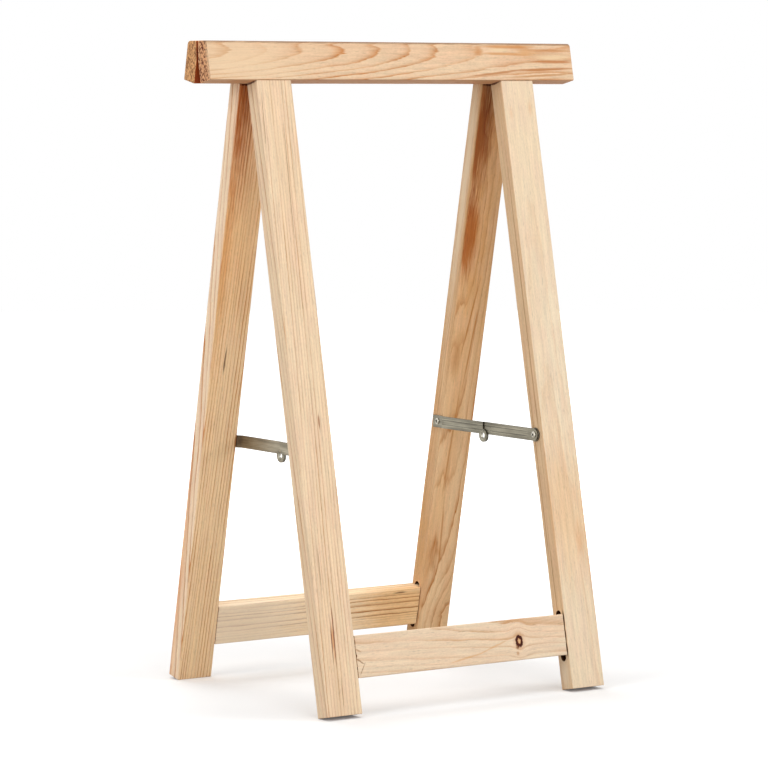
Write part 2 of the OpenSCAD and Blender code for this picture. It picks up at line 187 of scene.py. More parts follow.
    # sawn ends drink light: darker, redder, torn into pits drawn 3 mm tall so that they show
    pores = noiseAt((2.8, 1.5, 3.0), 3.0, 6.6)
    pit = addNode(tree, "MapRange", {"Value": pores, "From Min": 0.41, "From Max": 0.53,
                                     "To Min": given["Pore"], "To Max": 0.0})
    softLate = addNode(tree, "Math", {0: late, 1: 0.5}, operation="MULTIPLY")
    endWood = addNode(tree, "Mix", {0: softLate, 6: given["End"], 7: hexColour("#B8743A")}, data_type="RGBA")
    endColour = addNode(tree, "Mix", {0: pit, 6: endWood.outputs[2], 7: hexColour("#581E04")},
                        data_type="RGBA")
    surface = addNode(tree, "Mix", {0: given["Ends"], 6: faceColour, 7: endColour.outputs[2]},
                      data_type="RGBA")
    ridge = addNode(tree, "Math", {0: late, 1: 0.6, 2: fine}, operation="MULTIPLY_ADD")
    rough = addNode(tree, "Math", {0: pit, 1: -2.0}, operation="MULTIPLY")
    relief = addNode(tree, "Mix", {0: given["Ends"], 2: ridge, 3: rough}, data_type="FLOAT")
    tree.links.new(surface.outputs[2], made["Colour"])
    tree.links.new(late.outputs[0], made["Latewood"])
    tree.links.new(relief.outputs[0], made["Height"])
    return tree


# a branch cut across: pale core, dark bark rim, reddish halo, and the board's grain bent round it
def makeKnotGroup():
    tree, given, made = newGroup("pine knot", [
        ("Vector", "Vector", None), ("Centre", "Vector", None), ("Wide", "Float", 5.0),
        ("Long", "Float", 7.0), ("Bend", "Float", 0.8)],
        [("Vector", "Vector"), ("Mask", "Float"), ("Tone", "Color"), ("Halo", "Float")])
    away = addNode(tree, "VectorMath", {0: given["Vector"], 1: given["Centre"]}, operation="SUBTRACT")
    parts = addNode(tree, "SeparateXYZ", {0: away})
    across = addNode(tree, "Math", {0: parts.outputs["X"], 1: given["Wide"]}, operation="DIVIDE")
    along = addNode(tree, "Math", {0: parts.outputs["Z"], 1: given["Long"]}, operation="DIVIDE")
    plane = addNode(tree, "CombineXYZ", {0: across, 1: along})
    reach = addNode(tree, "VectorMath", {0: plane}, operation="LENGTH")
    ragged = addNode(tree, "TexNoise", {"Vector": plane, "Scale": 1.7, "Detail": 2.0})
    distance = addNode(tree, "Math", {0: ragged, 1: 0.7, 2: reach.outputs["Value"]}, operation="MULTIPLY_ADD")
    distance = addNode(tree, "Math", {0: distance, 1: 0.35}, operation="SUBTRACT")
    squared = addNode(tree, "Math", {0: distance, 1: distance}, operation="MULTIPLY")
    falling = addNode(tree, "Math", {0: squared, 1: -0.16}, operation="MULTIPLY")
    near = addNode(tree, "Math", {0: falling}, operation="EXPONENT")
    pull = addNode(tree, "Math", {0: near, 1: given["Bend"]}, operation="MULTIPLY")
    shift = addNode(tree, "Math", {0: parts.outputs["X"], 1: pull}, operation="MULTIPLY")
    moved = addNode(tree, "CombineXYZ", {0: shift})
    bent = addNode(tree, "VectorMath", {0: given["Vector"], 1: moved}, operation="SUBTRACT")
    mask = addNode(tree, "MapRange", {"Value": distance, "From Min": 1.0, "From Max": 1.2,
                                      "To Min": 1.0, "To Max": 0.0}, interpolation_type="SMOOTHSTEP")
    tone = addNode(tree, "ValToRGB", {0: distance})
    setRamp(tone, [(0.0, hexColour("#E2B888")), (0.34, hexColour("#DDAE7C")), (0.5, hexColour("#6A2808")),
                   (0.78, hexColour("#200700")), (1.0, hexColour("#561E08"))])
    halo = addNode(tree, "MapRange", {"Value": distance, "From Min": 1.0, "From Max": 2.3,
                                      "To Min": 0.4, "To Max": 0.0}, interpolation_type="SMOOTHSTEP")
    tree.links.new(bent.outputs[0], made["Vector"])
    tree.links.new(mask.outputs[0], made["Mask"])
    tree.links.new(tone.outputs[0], made["Tone"])
    tree.links.new(halo.outputs[0], made["Halo"])
    return tree


# mark along the grain: a sharp pitch streak or fleck of bark, or with more softness a stain; the same mark
# also places painted shade and painted light on the boards
def makeStreakGroup():
    tree, given, made = newGroup("pitch streak and painted light", [
        ("Vector", "Vector", None), ("Centre", "Vector", None), ("Size", "Vector", (1, 1, 1)),
        ("Slant", "Float", 0.0), ("Softness", "Float", 0.6)], [("Mask", "Float")])
    away = addNode(tree, "VectorMath", {0: given["Vector"], 1: given["Centre"]}, operation="SUBTRACT")
    parts = addNode(tree, "SeparateXYZ", {0: away})
    drift = addNode(tree, "Math", {0: parts.outputs["Z"], 1: given["Slant"]}, operation="MULTIPLY")
    across = addNode(tree, "Math", {0: parts.outputs["X"], 1: drift}, operation="SUBTRACT")
    straight = addNode(tree, "CombineXYZ", {0: across, 1: parts.outputs["Y"], 2: parts.outputs["Z"]})
    scaled = addNode(tree, "VectorMath", {0: straight, 1: given["Size"]}, operation="DIVIDE")
    reach = addNode(tree, "VectorMath", {0: scaled}, operation="LENGTH")
    fibreAt = addNode(tree, "VectorMath", {0: given["Vector"], 1: (0.8, 0.8, 0.05)}, operation="MULTIPLY")
    fibre = addNode(tree, "TexNoise", {"Vector": fibreAt, "Scale": 1.0, "Detail": 2.0})
    ragged = addNode(tree, "Math", {0: fibre, 1: 0.9, 2: reach.outputs["Value"]}, operation="MULTIPLY_ADD")
    inner = addNode(tree, "Math", {0: 1.45, 1: given["Softness"]}, operation="SUBTRACT")
    mask = addNode(tree, "MapRange", {"Value": ragged, "From Min": inner, "From Max": 1.45,
                                      "To Min": 1.0, "To Max": 0.0}, interpolation_type="SMOOTHSTEP")
    tree.links.new(mask.outputs[0], made["Mask"])
    return tree


pineGroup, knotGroup, streakAndPaintedLightGroup = makePineGroup(), makeKnotGroup(), makeStreakGroup()


def makePine(name, place, board):
    material, tree = newMaterial(name)
    coords = addNode(tree, "TexCoord")
    local = addNode(tree, "Mapping", {"Vector": coords.outputs["Object"], "Location": place.translation,
                                      "Rotation": place.to_euler(), "Scale": (mm, mm, mm)},
                    vector_type="TEXTURE")
    vector, knots = local.outputs[0], []
    for knot in board.get("knots", []):
        node = addNode(tree, "Group", node_tree=knotGroup)
        for label in ("Centre", "Wide", "Long", "Bend"):
            node.inputs[label].default_value = knot[label]
        tree.links.new(vector, node.inputs["Vector"])
        vector = node.outputs["Vector"]
        # a hidden branch only bends the grain
        if not knot.get("hidden"):
            knots.append(node)
    turn = place.to_3x3()
    facing = addNode(tree, "VectorMath", {0: coords.outputs["Normal"], 1: turn @ Vector((0, 0, 1))},
                     operation="DOT_PRODUCT")
    square = addNode(tree, "Math", {0: facing.outputs["Value"]}, operation="ABSOLUTE")
    ends = addNode(tree, "MapRange", {"Value": square, "From Min": 0.45, "From Max": 0.85})
    pine = addNode(tree, "Group", node_tree=pineGroup)
    pine.inputs["Pith"].default_value = (*board["pith"], 0)
    pine.inputs["Lean"].default_value = (*board["lean"], 0)
    for label in ("Ring Width", "Warp", "Seed", "Contrast", "Warmth", "Fibre", "Peak", "Soft", "Shift",
                  "Uneven", "Pore", "Luck"):
        key = label.split()[0].lower()
        if key in board:
            pine.inputs[label].default_value = board[key]
    shades = {"rosy": "#EBC5A4", "end": "#D8A77A"} | board
    for label in ("Early", "Late", "Warm", "Rosy", "End"):
        pine.inputs[label].default_value = hexColour(shades[label.lower()])
    tree.links.new(vector, pine.inputs["Vector"])
    tree.links.new(ends.outputs[0], pine.inputs["Ends"])
    colour = pine.outputs["Colour"]
    # a side of the board may be tinted: painted shade on sides the light reaches less, such as the beam's
    # underside and inner faces
    for way, sideShadeColour in board.get("sides", []):
        side = addNode(tree, "VectorMath", {0: coords.outputs["Normal"], 1: turn @ Vector(way)},
                       operation="DOT_PRODUCT")
        sideShadeMask = addNode(tree, "MapRange", {"Value": side.outputs["Value"], "From Min": 0.4, "From Max": 0.9})
        colour = addNode(tree, "Mix", {0: sideShadeMask, 6: colour, 7: hexColour(sideShadeColour)}, data_type="RGBA",
                         blend_type="MULTIPLY").outputs[2]
    for streak in board.get("streaksAndPaintedLight", []):
        node = addNode(tree, "Group", node_tree=streakAndPaintedLightGroup)
        tree.links.new(local.outputs[0], node.inputs["Vector"])
        node.inputs["Centre"].default_value = streak["at"]
        node.inputs["Size"].default_value = streak["size"]
        node.inputs["Slant"].default_value = streak.get("slant", 0)
        node.inputs["Softness"].default_value = streak.get("soft", 0.6)
        amount = addNode(tree, "Math", {0: node, 1: streak.get("depth", 0.85)}, operation="MULTIPLY")
        colour = addNode(tree, "Mix", {0: amount, 6: colour, 7: hexColour(streak["colour"])},
                         data_type="RGBA", blend_type=streak.get("blend", "MIX")).outputs[2]
    for node in knots:
        colour = addNode(tree, "Mix", {0: node.outputs["Halo"], 6: colour, 7: hexColour("#CB8F5C")},
                         data_type="RGBA").outputs[2]
        colour = addNode(tree, "Mix", {0: node.outputs["Mask"], 6: colour, 7: node.outputs["Tone"]},
                         data_type="RGBA").outputs[2]
    gloss = addNode(tree, "MapRange", {"Value": pine.outputs["Latewood"], "To Min": 0.66, "To Max": 0.5})
    bump = addNode(tree, "Bump", {"Height": pine.outputs["Height"], "Strength": 0.3, "Distance": 0.25 * mm})
    shader = addNode(tree, "BsdfPrincipled", {"Base Color": colour, "Roughness": gloss, "Normal": bump,
                                              "IOR": 1.5, "Specular IOR Level": 0.2})
    addNode(tree, "OutputMaterial", {0: shader})
    return material


def matrixFor(front, grainAcross):
    tilt = Matrix.Rotation(-slope if front else slope, 4, "X")
    turn = Matrix.Rotation(math.pi / 2, 4, "Y") if grainAcross else Matrix.Identity(4)
    return Matrix.Translation((0, 0, trestle["hingeHeight"] * mm)) @ tilt @ turn


def addPiece(name, bm, materials, slot=0):
    for face in bm.faces:
        face.material_index = slot
    mesh = bpy.data.meshes.new(name)
    bm.to_mesh(mesh)
    bm.free()
    for material in materials:
        mesh.materials.append(material)
    piece = bpy.data.objects.new(name, mesh)
    bpy.context.scene.collection.objects.link(piece)
    return piece


# cuts the tool out of the piece, or joins the two, and each face keeps its material
def combine(piece, tool, operation="DIFFERENCE"):
    modifier = piece.modifiers.new("join", "BOOLEAN")
    modifier.object, modifier.operation, modifier.solver = tool, operation, "EXACT"
    evaluated = piece.evaluated_get(bpy.context.evaluated_depsgraph_get())
    joined = bpy.data.meshes.new_from_object(evaluated)
    piece.modifiers.clear()
    piece.data = joined
    bpy.data.objects.remove(tool)


def boxBetween(low, high):
    bm = bmesh.new()
    bmesh.ops.create_cube(bm, size=1)
    low, high = Vector(low) * mm, Vector(high) * mm
    size = high - low
    bmesh.ops.scale(bm, verts=bm.verts, vec=size)
    bmesh.ops.translate(bm, verts=bm.verts, vec=(low + high) / 2)
    return bm


# how the boards are planed and eased, in mm
planing = {"corner": 1.1, "foot": 0.7, "legTop": 0.35, "stretcherEnd": 0.5, "beamTop": 4.1, "beamUnder": 1.2,
           "beamSlot": 0.8, "beamRight": 1.8, "beamLeft": 0.7, "slice": 7, "legWaver": 0.22, "waver": 0.2,
           "tooth": 2.4, "torn": 1.76, "tornReach": 0.6}


def bevel(bm, edges, offset, segments=3):
    return bmesh.ops.bevel(bm, geom=list(edges), offset=offset * mm, offset_type="OFFSET", segments=segments,
                           profile=0.5, affect="EDGES", material=-1, clamp_overlap=True)


def edgesAlong(bm, axis):
    return [e for e in bm.edges if abs((e.verts[0].co - e.verts[1].co).normalized()[axis]) > 0.999]


def edgesAt(bm, axis, value):
    return [e for e in bm.edges if all(abs(v.co[axis] - value * mm) < 1e-6 for v in e.verts)
            and e.is_manifold and e.calc_face_angle() > 0.3]


# stadium bar along one axis, used for tenons and for the mortises that take them
def roundBar(low, high, axis, thin):
    bm = boxBetween(low, high)
    half = (high[thin] - low[thin]) / 2
    bevel(bm, edgesAlong(bm, axis), half * 0.998, 8)
    return bm


# planed faces are never quite flat: slices along the grain, then a shallow inward waver
def planeWaver(bm, depth, seed):
    lows = [min(v.co[i] for v in bm.verts) for i in range(3)]
    highs = [max(v.co[i] for v in bm.verts) for i in range(3)]
    count = int((highs[2] - lows[2]) / (planing["slice"] * mm))
    for k in range(1, count):
        at = lows[2] + (highs[2] - lows[2]) * k / count
        bmesh.ops.bisect_plane(bm, geom=bm.verts[:] + bm.edges[:] + bm.faces[:], dist=1e-7,
                               plane_co=(0, 0, at), plane_no=(0, 0, 1))
    middle = Vector([(a + b) / 2 for a, b in zip(lows, highs)])
    across, along = 60, 22                         # waves in a metre
    for v in bm.verts:
        at = Vector((v.co.x * across, v.co.y * across, v.co.z * along)) + Vector((seed, 0, 0))
        pull = (noise.noise(at) * 0.5 + 0.5) * depth * mm
        for i in range(2):
            v.co[i] -= math.copysign(min(pull, abs(v.co[i] - middle[i])), v.co[i] - middle[i])


# the saw leaves the shoulders torn: slices across the end, then each pulled back a little
def raggedEnds(bm, seed):
    low, high = min(v.co.x for v in bm.verts), max(v.co.x for v in bm.verts)
    end = max(v.co.z for v in bm.verts)
    count = int((high - low) / (planing["tooth"] * mm))
    for k in range(1, count):
        bmesh.ops.bisect_plane(bm, geom=bm.verts[:] + bm.edges[:] + bm.faces[:], dist=1e-7,
                               plane_co=(low + (high - low) * k / count, 0, 0), plane_no=(1, 0, 0))
    teeth, splits = 210, 90                        # in a metre of the board's height and thickness
    for v in bm.verts:
        if abs(v.co.z) > end - planing["tornReach"] * mm:
            pull = noise.noise(Vector((v.co.x * teeth, v.co.y * splits, math.copysign(seed, v.co.z))))
            v.co.z -= math.copysign(max(pull, 0) * planing["torn"] * mm, v.co.z)


def bodyOf(node):
    return next(b for b, nodes in frame["record"]["behaviour"]["bodies"].items() if node in nodes)


# puts a piece in its place, keeps its flat faces flat, attaches it to its body and hides its CAD part
def finishPiece(piece, node, place, sharp=40):
    piece.data.transform(place)
    if place.determinant() < 0:
        piece.data.flip_normals()
    for polygon in piece.data.polygons:
        polygon.use_smooth = True
    piece.data.set_sharp_from_angle(angle=math.radians(sharp))
    weighted = piece.modifiers.new("flat faces stay flat", "WEIGHTED_NORMAL")
    weighted.keep_sharp = True
    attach(piece, bodyOf(node))
    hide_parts(node)


boards = {
    "beam_front": {
        "pith": (-5.5, 30), "lean": (0.012, 0.056), "ring": 2.9, "warp": 1.6, "seed": 4.0, "peak": 230,
        "soft": 90, "uneven": 0.6, "shift": -0.87, "luck": 2.0, "contrast": 1.3, "warmth": 0.6,
        "early": "#E7C9A6", "late": "#C47E40", "warm": "#E4BA93", "rosy": "#E6C09D", "end": "#E8AE7E",
        # painted shade: the underside and the inner face toward the rear half tinted darker, the inner face
        # deep red-brown for the slot between the halves
        "sides": [((1, 0, 0), "#E0C8B4"), ((0, 1, 0), "#B4602E")],
        "streaksAndPaintedLight": [
            {"at": (4, -25, -215), "size": (40, 8, 130), "depth": 0.6, "colour": "#EDD0AA", "soft": 0.9},
            # painted shade: a dark line along the rounded top edge of the front
            {"at": (-19, -23, 0), "size": (5, 7, 1200), "depth": 0.8, "colour": "#74563E", "soft": 0.7},
            {"at": (-6.3, -25, 185), "size": (7, 6, 24), "depth": 0.6, "colour": "#D89A5C", "soft": 0.9},
            {"at": (-9.7, -25, 147), "size": (5, 6, 20), "depth": 0.7, "colour": "#EED2A8", "soft": 0.8},
            {"at": (-13.3, -25, 160), "size": (2.6, 6, 52), "depth": 0.75, "colour": "#CF8C4E"},
            {"at": (-5, -25, 150), "size": (2.2, 6, 40), "depth": 0.7, "colour": "#D29354", "slant": 0.02},
            {"at": (-8, -25, 117), "size": (9, 6, 9), "depth": 0.7, "colour": "#C98444", "soft": 0.9},
            {"at": (-0.7, -25, 224), "size": (5, 6, 40), "depth": 0.7, "colour": "#F0D4AA", "soft": 0.8},
            {"at": (-9, -25, 222), "size": (2.2, 6, 36), "depth": 0.6, "colour": "#C4803F"},
            {"at": (4.3, -25, 226), "size": (2.3, 6, 38), "depth": 0.8, "colour": "#BC7438"},
            {"at": (18.6, -25, 136), "size": (2.0, 6, 44), "depth": 0.75, "colour": "#B8743A", "slant": -0.1},
            {"at": (13.6, -25, 208), "size": (2.2, 6, 60), "colour": "#B8743A", "slant": -0.034},
            {"at": (21, -25, 204), "size": (1.8, 6, 64), "depth": 0.7, "colour": "#C08046", "slant": -0.05}]},
    "beam_rear": {
        "pith": (0, -120), "lean": (0.0, 0.03), "ring": 3.0, "warp": 2.2, "seed": 14.0, "contrast": 0.9,
        "early": "#EBC9A2", "late": "#C98B52", "warm": "#E8BC90", "end": "#E4AC74", "pore": 0.75,
        # painted shade: the underside and the inner face toward the front half tinted darker, the inner face
        # deep red-brown for the slot between the halves
        "sides": [((1, 0, 0), "#E0C8B4"), ((0, -1, 0), "#B4602E")],
        # painted shade: a near-black patch on the inner face at the left end, in the slot between the halves
        "streaksAndPaintedLight": [{"at": (-13, 1.6, -250), "size": (11, 3, 40), "depth": 0.85, "colour": "#2A0C04"}]},
    # fine straight lines, just under 4 mm apart on the front
    "leg_front_left": {
        "pith": (-92, 30), "lean": (0.022, 0.0), "ring": 3.1, "warp": 0.9, "seed": 31.0, "contrast": 0.85,
        "uneven": 0.7, "early": "#F0D8B6", "late": "#BC7A42", "warm": "#ECCAA4", "rosy": "#EECEAE",
        "streaksAndPaintedLight": [
            # painted shadow: a dark line along the top of the left side, where the leg meets the beam
            {"at": (-191.5, -10, -27.4), "size": (3, 15, 1.9), "colour": "#54240F", "depth": 0.9},
            {"at": (-172, -23, -655), "size": (1.2, 4, 44), "colour": "#7C3610", "slant": 0.03},
            {"at": (-175.5, -23, -662), "size": (1.0, 4, 34), "colour": "#7C3610", "slant": 0.03},
            {"at": (-173.8, -23, -660), "size": (1.4, 4, 30), "depth": 0.6, "colour": "#D08A4C"},
            {"at": (-160, -23, -414), "size": (1.6, 3, 12), "depth": 0.8, "colour": "#9A5A30"},
            *[{"at": (x, -23, z), "size": (0.8, 3, long), "depth": 0.6, "colour": "#8E5A34", "slant": 0.02}
              for x, z, long in ((-164, -145, 110), (-188, -75, 48), (-181, -580, 32), (-169, -720, 20))]]},
    "leg_front_right": {
        "pith": (168, 60), "lean": (0.01, 0.01), "ring": 6.0, "warp": 3.0, "seed": 45.0, "contrast": 0.45,
        "early": "#EDD9BB", "late": "#DCB388", "warm": "#EBD0AC", "rosy": "#EBCFB2",
        # the left side, facing in between the legs, tinted darker and warmer: painted shade over darker
        # heartwood
        "sides": [((-1, 0, 0), "#F0E2D2")],
        "streaksAndPaintedLight": [
            # painted shadow: a dark line along the top of the left side, where the leg meets the beam
            {"at": (145.5, -10, -27.4), "size": (3, 15, 1.9), "colour": "#54240F", "depth": 0.9},
            # painted shadow in the gap between the front stretcher's end and the leg, where it shows through
            *[{"at": (145.5, -21.6, z), "size": (3, thick, long), "colour": "#3E1608", "depth": 0.9}
              for z, thick, long in ((-663, 1.8, 13), (-680, 1.6, 12), (-697, 1.8, 11))],
            *[{"at": (145.5, y, z), "size": (3, thick, long), "colour": colour, "depth": 0.6}
              for y, z, thick, long, colour in (
                  (-16, -300, 1.2, 260, "#A06C40"), (-7, -480, 1.1, 200, "#A87448"),
                  (-11, -620, 1.0, 90, "#A06C40"))],
            {"at": (183, -23, -60), "size": (5, 6, 16), "depth": 0.45, "colour": "#DCA36C", "soft": 1.2},
            {"at": (155, -23, -66), "size": (5, 6, 12), "depth": 0.35, "colour": "#DCA36C", "soft": 1.2},
            {"at": (181, -23, -570), "size": (10, 6, 36), "depth": 0.5, "colour": "#DCA36C", "soft": 1.2},
            {"at": (145.5, -12, -720), "size": (4, 14, 34), "depth": 0.6, "colour": "#FFECD0", "soft": 0.9},
            {"at": (168, -23, -540), "size": (60, 6, 120), "depth": 1.0, "colour": "#FCEFE2", "soft": 0.9,
             "blend": "MULTIPLY"},
            {"at": (192, -23, -610), "size": (4, 8, 170), "depth": 0.55, "colour": "#C98A55", "soft": 1.1}]},
    "leg_rear_left": {
        "pith": (-80, 60), "lean": (0.02, 0.02), "ring": 3.3, "warp": 1.4, "seed": 52.0, "contrast": 1.3,
        "uneven": 1.2, "early": "#FFE6C6", "late": "#C67C3C", "warm": "#FAD8B2", "rosy": "#FADABC",
        # the inner face tinted a little warmer: painted warm light bounced between the legs
        "sides": [((0, -1, 0), "#FEF8E7")],
        "streaksAndPaintedLight": [
            # painted shadow: a dark line across the top of the inner face, where the leg meets the beam
            {"at": (-168, 1.6, -27.6), "size": (30, 4, 2.2), "colour": "#4A1E0C", "depth": 0.95},
            {"at": (-146.5, 1.6, -452), "size": (2.6, 3, 16), "colour": "#A5622E", "depth": 0.8},
            {"at": (-173, 1.6, -352), "size": (1.5, 3, 20), "colour": "#5A3018", "slant": 0.04},
            # painted shade over the top of the inner face, deepest along its left edge under the beam and the
            # front leg
            {"at": (-188, 1.6, -40), "size": (36, 3, 185), "depth": 1.0, "colour": "#C4844C", "soft": 1.1,
             "blend": "MULTIPLY"},
            {"at": (-189, 1.6, -230), "size": (13, 3, 250), "depth": 1.0, "colour": "#EEDAC2", "soft": 1.0,
             "blend": "MULTIPLY"},
            {"at": (-168, 1.6, -200), "size": (60, 4, 170), "depth": 1.0, "colour": "#FFF4E6", "soft": 0.9,
             "blend": "MULTIPLY"},
            {"at": (-191.5, 23.6, -620), "size": (20, 15, 230), "depth": 1.0, "colour": "#F6DAC4",
             "soft": 0.9, "blend": "MULTIPLY"}]},
    "leg_rear_right": {
        "pith": (150, 104), "lean": (0.0, -0.021), "ring": 3.0, "warp": 3.0, "seed": 63.0, "contrast": 1.0,
        "warmth": 1.0, "early": "#ECC79A", "late": "#B06A26", "warm": "#DCA870", "rosy": "#E6B98C",
        "knots": [{"Centre": (197, 0, -702), "Wide": 13.0, "Long": 18.0, "Bend": 1.3, "hidden": True}],
        "streaksAndPaintedLight": [
            # painted shadow: a dark line across the top of the inner face, where the leg meets the beam
            {"at": (168, 1.6, -27.6), "size": (30, 4, 2.2), "colour": "#4A1E0C", "depth": 0.95},
            *[{"at": (x, 1.6, z), "size": (wide, 4, long), "colour": "#B8742E", "depth": depth,
               "slant": slant} for x, z, wide, long, depth, slant in (
                  (169, -310, 1.6, 60, 0.7, 0.16), (174, -350, 1.6, 70, 0.7, 0.09),
                  (162.5, -470, 1.8, 90, 0.6, 0.05), (165, -590, 1.8, 60, 0.6, -0.04))],
            # painted shade near the top of the inner face, below the beam and behind the front leg, in a
            # reddish brown
            {"at": (148, 1.6, -85), "size": (30, 3, 120), "depth": 1.0, "colour": "#B4865A", "soft": 0.8,
             "blend": "MULTIPLY"},
            {"at": (152, 1.6, -212), "size": (17, 3, 72), "depth": 1.0, "colour": "#CC9C6A", "soft": 0.7,
             "blend": "MULTIPLY"},
            # painted light on the left side, lifting the shade between the legs
            {"at": (145.5, 15, -150), "size": (4, 12, 250), "depth": 0.75, "colour": "#FFE8C8", "soft": 0.9},
            {"at": (154, 1.6, -362), "size": (10, 3, 36), "depth": 0.6, "colour": "#BC8048", "soft": 0.9}]},
    "stretcher_front": {
        "pith": (640, -90), "lean": (0.03, 0.02), "ring": 4.5, "warp": 2.6, "seed": 71.0, "contrast": 0.8,
        "early": "#EED8BA", "late": "#C6905C", "warm": "#EAC9A8", "rosy": "#EBCCAE",
        "streaksAndPaintedLight": [
            {"at": (688, -22.4, 75.6), "size": (4.4, 3, 2.8), "colour": "#3E1606", "depth": 0.9},
            {"at": (696, -22.4, 75), "size": (3.2, 3, 3), "colour": "#C08450", "depth": 0.7, "soft": 0.9},
            {"at": (673, -22.4, -142), "size": (1.5, 3, 6), "colour": "#B48458", "depth": 0.6, "slant": 0.5},
            {"at": (685, -22.4, -141), "size": (1.5, 3, 7), "colour": "#9A6A44", "depth": 0.7, "slant": 0.7},
            {"at": (694, -22.4, -138), "size": (1.6, 3, 5), "colour": "#9A6A44", "depth": 0.7, "slant": -1.6},
            {"at": (695, -22.4, 2), "size": (1.6, 3, 30), "colour": "#DCA468", "depth": 0.5, "slant": -0.16},
            {"at": (685, -22.4, 44), "size": (1.6, 3, 26), "colour": "#DCA468", "depth": 0.5, "slant": -0.3}],
        "knots": [{"Centre": (682.0, 0, 78.5), "Wide": 6.6, "Long": 4.6, "Bend": 0.75}]},
    "stretcher_rear": {
        "pith": (600, 60), "lean": (0.0, 0.01), "ring": 4.1, "warp": 2.3, "seed": 83.0, "contrast": 1.15,
        "early": "#FFE4BE", "late": "#AC6C2E", "warm": "#F6D4A8", "rosy": "#FADCB6",
        "streaksAndPaintedLight": [
            {"at": (660, 2, 115), "size": (1.6, 3, 13), "depth": 0.8, "colour": "#5A3418"},
            # painted shade over the right part of the rear stretcher
            {"at": (680, 2, 120), "size": (80, 20, 90), "depth": 1.0, "colour": "#F2E0C6", "soft": 0.8,
             "blend": "MULTIPLY"},
            # painted light over the left part of the rear stretcher
            {"at": (680, 2, -110), "size": (80, 20, 140), "depth": 0.5, "colour": "#FFEED6", "soft": 0.8}]}}
footDepth = (trestle["hingeHeight"] + trestle["legInner"] * math.sin(slope)) / math.cos(slope)
joints = {"tenonWidth": 32, "tenonThick": 9, "tenonLength": 24, "slotWidth": 8, "slotDepth": 24.1,
          "stretcherRise": 39.6, "stretcherHeight": 47.6, "stretcherThick": 19.5, "shoulderGap": 0.9,
          "slotEase": 0.8, "slotBelow": 2.2, "tongueShy": 0.3, "glue": 0.1, "overlap": 2,
          "hingeAt": 95, "hingeLength": 50, "knuckleRoom": 3.1, "knuckleEase": 1.2}
stretcherLow = footDepth - joints["stretcherRise"]
stretcherHigh = stretcherLow - joints["stretcherHeight"]
legMiddle = (trestle["legInner"] + trestle["legOuter"]) / 2


def makeLeg(node, woods):
    front, side = "front" in node, -1 if "left" in node else 1
    way = -1 if front else 1                       # outwards is -y on the front frame
    centre, half = side * trestle["legCentre"], trestle["legWidth"] / 2
    ys = sorted((way * trestle["legInner"], way * trestle["legOuter"]))
    bm = boxBetween((centre - half, ys[0], -footDepth), (centre + half, ys[1], -trestle["beamDrop"]))
    bevel(bm, edgesAlong(bm, 2), planing["corner"])
    bevel(bm, edgesAt(bm, 2, -footDepth), planing["foot"], 2)
    bevel(bm, edgesAt(bm, 2, -trestle["beamDrop"]), planing["legTop"], 1)
    planeWaver(bm, planing["legWaver"], side * 3 + way)
    piece = addPiece(node + "_board", bm, woods)
    middle, overlap = way * legMiddle, joints["overlap"]
    width, thick = joints["tenonWidth"] / 2, joints["tenonThick"] / 2
    tenon = roundBar((centre - width, middle - thick, -trestle["beamDrop"] - overlap),
                     (centre + width, middle + thick, -trestle["beamDrop"] + joints["tenonLength"]), 2, 1)
    combine(piece, addPiece("tenon", tenon, woods), "UNION")
    reach, slot = joints["slotWidth"] / 2 + joints["slotEase"], side * trestle["sideFace"]
    xs = sorted((slot - side * overlap, slot + side * joints["slotDepth"]))
    cut = roundBar((xs[0], middle - reach, -stretcherLow - reach - joints["slotBelow"]),
                   (xs[1], middle + reach, -stretcherHigh + reach), 0, 1)
    combine(piece, addPiece("mortise", cut, woods, 1))
    return piece


def makeStretcher(node, woods):
    front = "front" in node
    way = -1 if front else 1
    middle, thick, glue = way * legMiddle, joints["stretcherThick"] / 2, joints["glue"]
    tongueHalf, shy = joints["slotWidth"] / 2, joints["tongueShy"]
    tongueEnd = trestle["sideFace"] + joints["slotDepth"] - glue
    end = trestle["sideFace"] - joints["shoulderGap"]
    bm = boxBetween((stretcherHigh, middle - thick, -end), (stretcherLow, middle + thick, end))
    bevel(bm, edgesAlong(bm, 2), planing["corner"])
    for z in (-end, end):
        bevel(bm, edgesAt(bm, 2, z), planing["stretcherEnd"], 2)
    raggedEnds(bm, 7 + way)
    planeWaver(bm, planing["waver"], 11 + way)
    piece = addPiece(node + "_board", bm, woods)
    for side in (-1, 1):
        zs = sorted((side * (end - joints["overlap"]), side * tongueEnd))
        tongue = boxBetween((stretcherHigh + shy, middle - tongueHalf + glue, zs[0]),
                            (stretcherLow - shy, middle + tongueHalf - glue, zs[1]))
        combine(piece, addPiece("tongue", tongue, woods), "UNION")
    return piece


